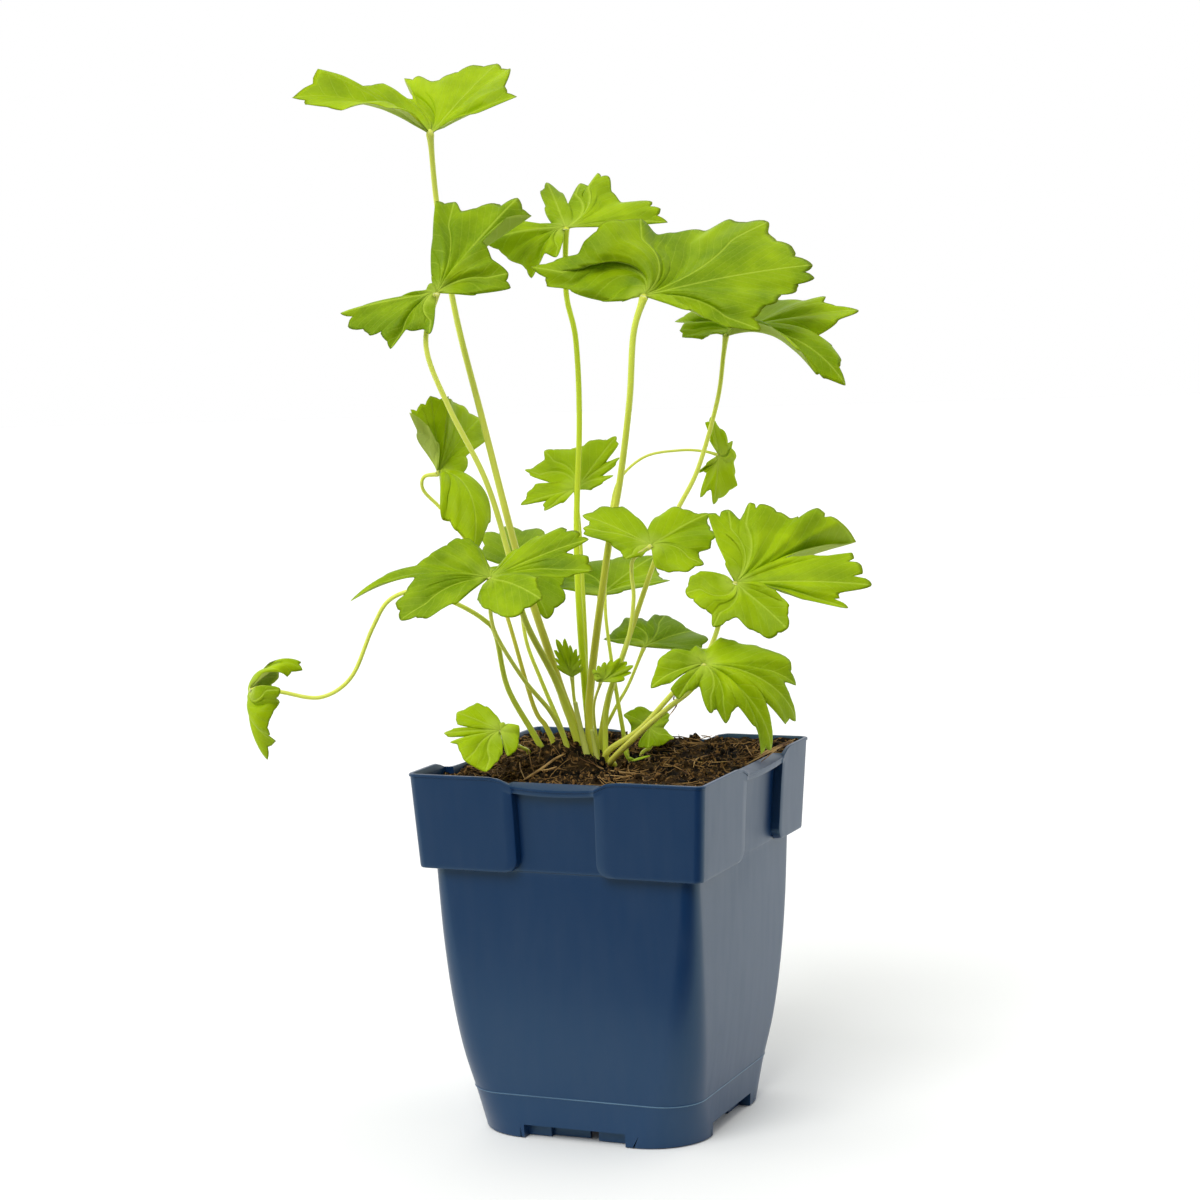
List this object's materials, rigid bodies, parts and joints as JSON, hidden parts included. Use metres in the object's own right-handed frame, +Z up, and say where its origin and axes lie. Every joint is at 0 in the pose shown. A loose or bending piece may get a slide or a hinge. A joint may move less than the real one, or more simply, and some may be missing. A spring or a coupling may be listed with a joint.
{
  "type": "potted delphinium plant",
  "caption": "Young delphinium with long-stalked, deeply lobed green leaves growing from dark peat in a square blue nursery pot with a stepped collar.",
  "frame": {"origin": "the middle of the pot's underside, on the ground plane that the pot stands on", "axes": "+Z up; +X and +Y run along the sides of the square pot; the plant's front is turned 22.9 degrees about +Z from -Y towards +X"},
  "size_m": [0.2157, 0.1323, 0.3786],
  "materials": {
    "pot_plastic": "satin blue injection-moulded polypropylene with fine scuffs",
    "peat": "rough dark fibrous peat",
    "stalk": "pale soft green stem, slightly waxy",
    "leaf": "soft fresh green leaf, satin above and paler below"
  },
  "bodies": {
    "root": {"pot": "pot_plastic", "soil": "peat", "crown_sheath_front": "stalk", "crown_sheath_inner": "stalk", "leaf_top_left": "leaf", "leaf_upper_left": "leaf", "leaf_upper_middle": "leaf", "leaf_upper_centre": "leaf", "leaf_upper_right": "leaf", "leaf_nodding_left": "leaf", "leaf_small_middle": "leaf", "leaf_hanging_right": "leaf", "leaf_mid_centre": "leaf", "leaf_mid_right": "leaf", "leaf_rear_centre": "leaf", "leaf_rear_right": "leaf", "leaf_low_right": "leaf", "leaf_mid_left": "leaf", "leaf_rear_left": "leaf", "leaf_far_left": "leaf", "leaf_young_upright": "leaf", "leaf_young_front": "leaf", "leaf_low_left": "leaf", "leaf_low_rear": "leaf", "seedling": "leaf"}
  },
  "joints": []
}
